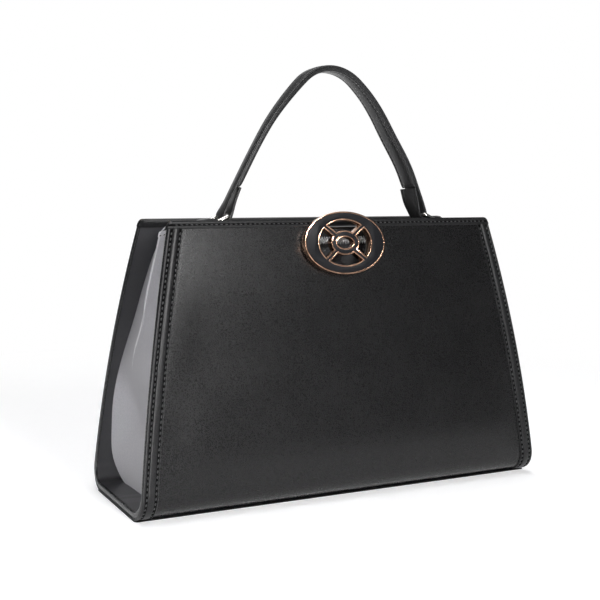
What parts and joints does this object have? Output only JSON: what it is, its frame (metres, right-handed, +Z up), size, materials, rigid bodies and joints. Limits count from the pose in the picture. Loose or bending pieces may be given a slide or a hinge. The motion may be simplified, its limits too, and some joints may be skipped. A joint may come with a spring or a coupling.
{
  "type": "top handle bag",
  "caption": "Structured trapezoid top handle bag with pleated side gussets, a zipped centre pocket, an oval openwork emblem and a swinging arched strap handle.",
  "frame": {"origin": "middle of the base on the floor", "axes": "+X along the width to the right of someone facing the front, -Y out of the front, +Z up"},
  "size_m": [0.312, 0.112, 0.3018],
  "materials": {
    "black_leather": "satin, fine grain",
    "board": "bonded leather board",
    "lining": "smooth facing",
    "grey_leather": "satin",
    "zip_tape": "woven",
    "zip_teeth": "moulded",
    "pale_metal": "polished",
    "rose_metal": "polished",
    "black_enamel": "satin",
    "steel": "plain"
  },
  "bodies": {
    "bag": {"outer_skin": "black_leather", "front_board": "board", "back_board": "board", "base_board": "board", "inner_lining": "lining", "base_sole": "black_leather", "binding_left": "black_leather", "binding_right": "black_leather", "front_hem": "black_leather", "back_hem": "black_leather", "gusset_left": "grey_leather", "gusset_right": "grey_leather", "pocket_front_wall": "black_leather", "pocket_back_wall": "black_leather", "pocket_band": "black_leather", "pocket_roof": "black_leather", "zip_tape_upper": "zip_tape", "zip_tape_lower": "zip_tape", "zip_teeth_upper": "zip_teeth", "zip_teeth_lower": "zip_teeth", "zip_end_stops": "pale_metal", "ring_left": "pale_metal", "ring_right": "pale_metal", "ring_tab_left": "black_leather", "ring_tab_right": "black_leather", "strap_end_left": "black_leather", "strap_end_right": "black_leather", "emblem_frame": "rose_metal", "emblem_enamel": "black_enamel", "emblem_back_plates": "steel", "emblem_screws": "steel"},
    "handle": {"strap_outer": "black_leather", "strap_core": "board", "strap_underside": "black_leather"},
    "zip_slider": {"zip_slider": "pale_metal"},
    "zip_puller": {"zip_puller": "pale_metal"}
  },
  "joints": [
    {"name": "handle_swing", "type": "hinge", "parent": "bag", "child": "handle", "pos_m": [0, -0.00998, 0.1962], "axis": [1, 0, 0], "range_deg": [-75, 60], "deforming": ["strap_end_left", "strap_end_right"]},
    {"name": "zip_slide", "type": "slide", "parent": "bag", "child": "zip_slider", "axis": [1, 0, 0], "range_m": [-0.172, 0], "deforming": ["zip_teeth_upper", "zip_teeth_lower"]},
    {"name": "puller_swing", "type": "hinge", "parent": "zip_slider", "child": "zip_puller", "pos_m": [0.08724, -0.02198, 0.1784], "axis": [-1, 0, 0], "range_deg": [0, 20]}
  ]
}
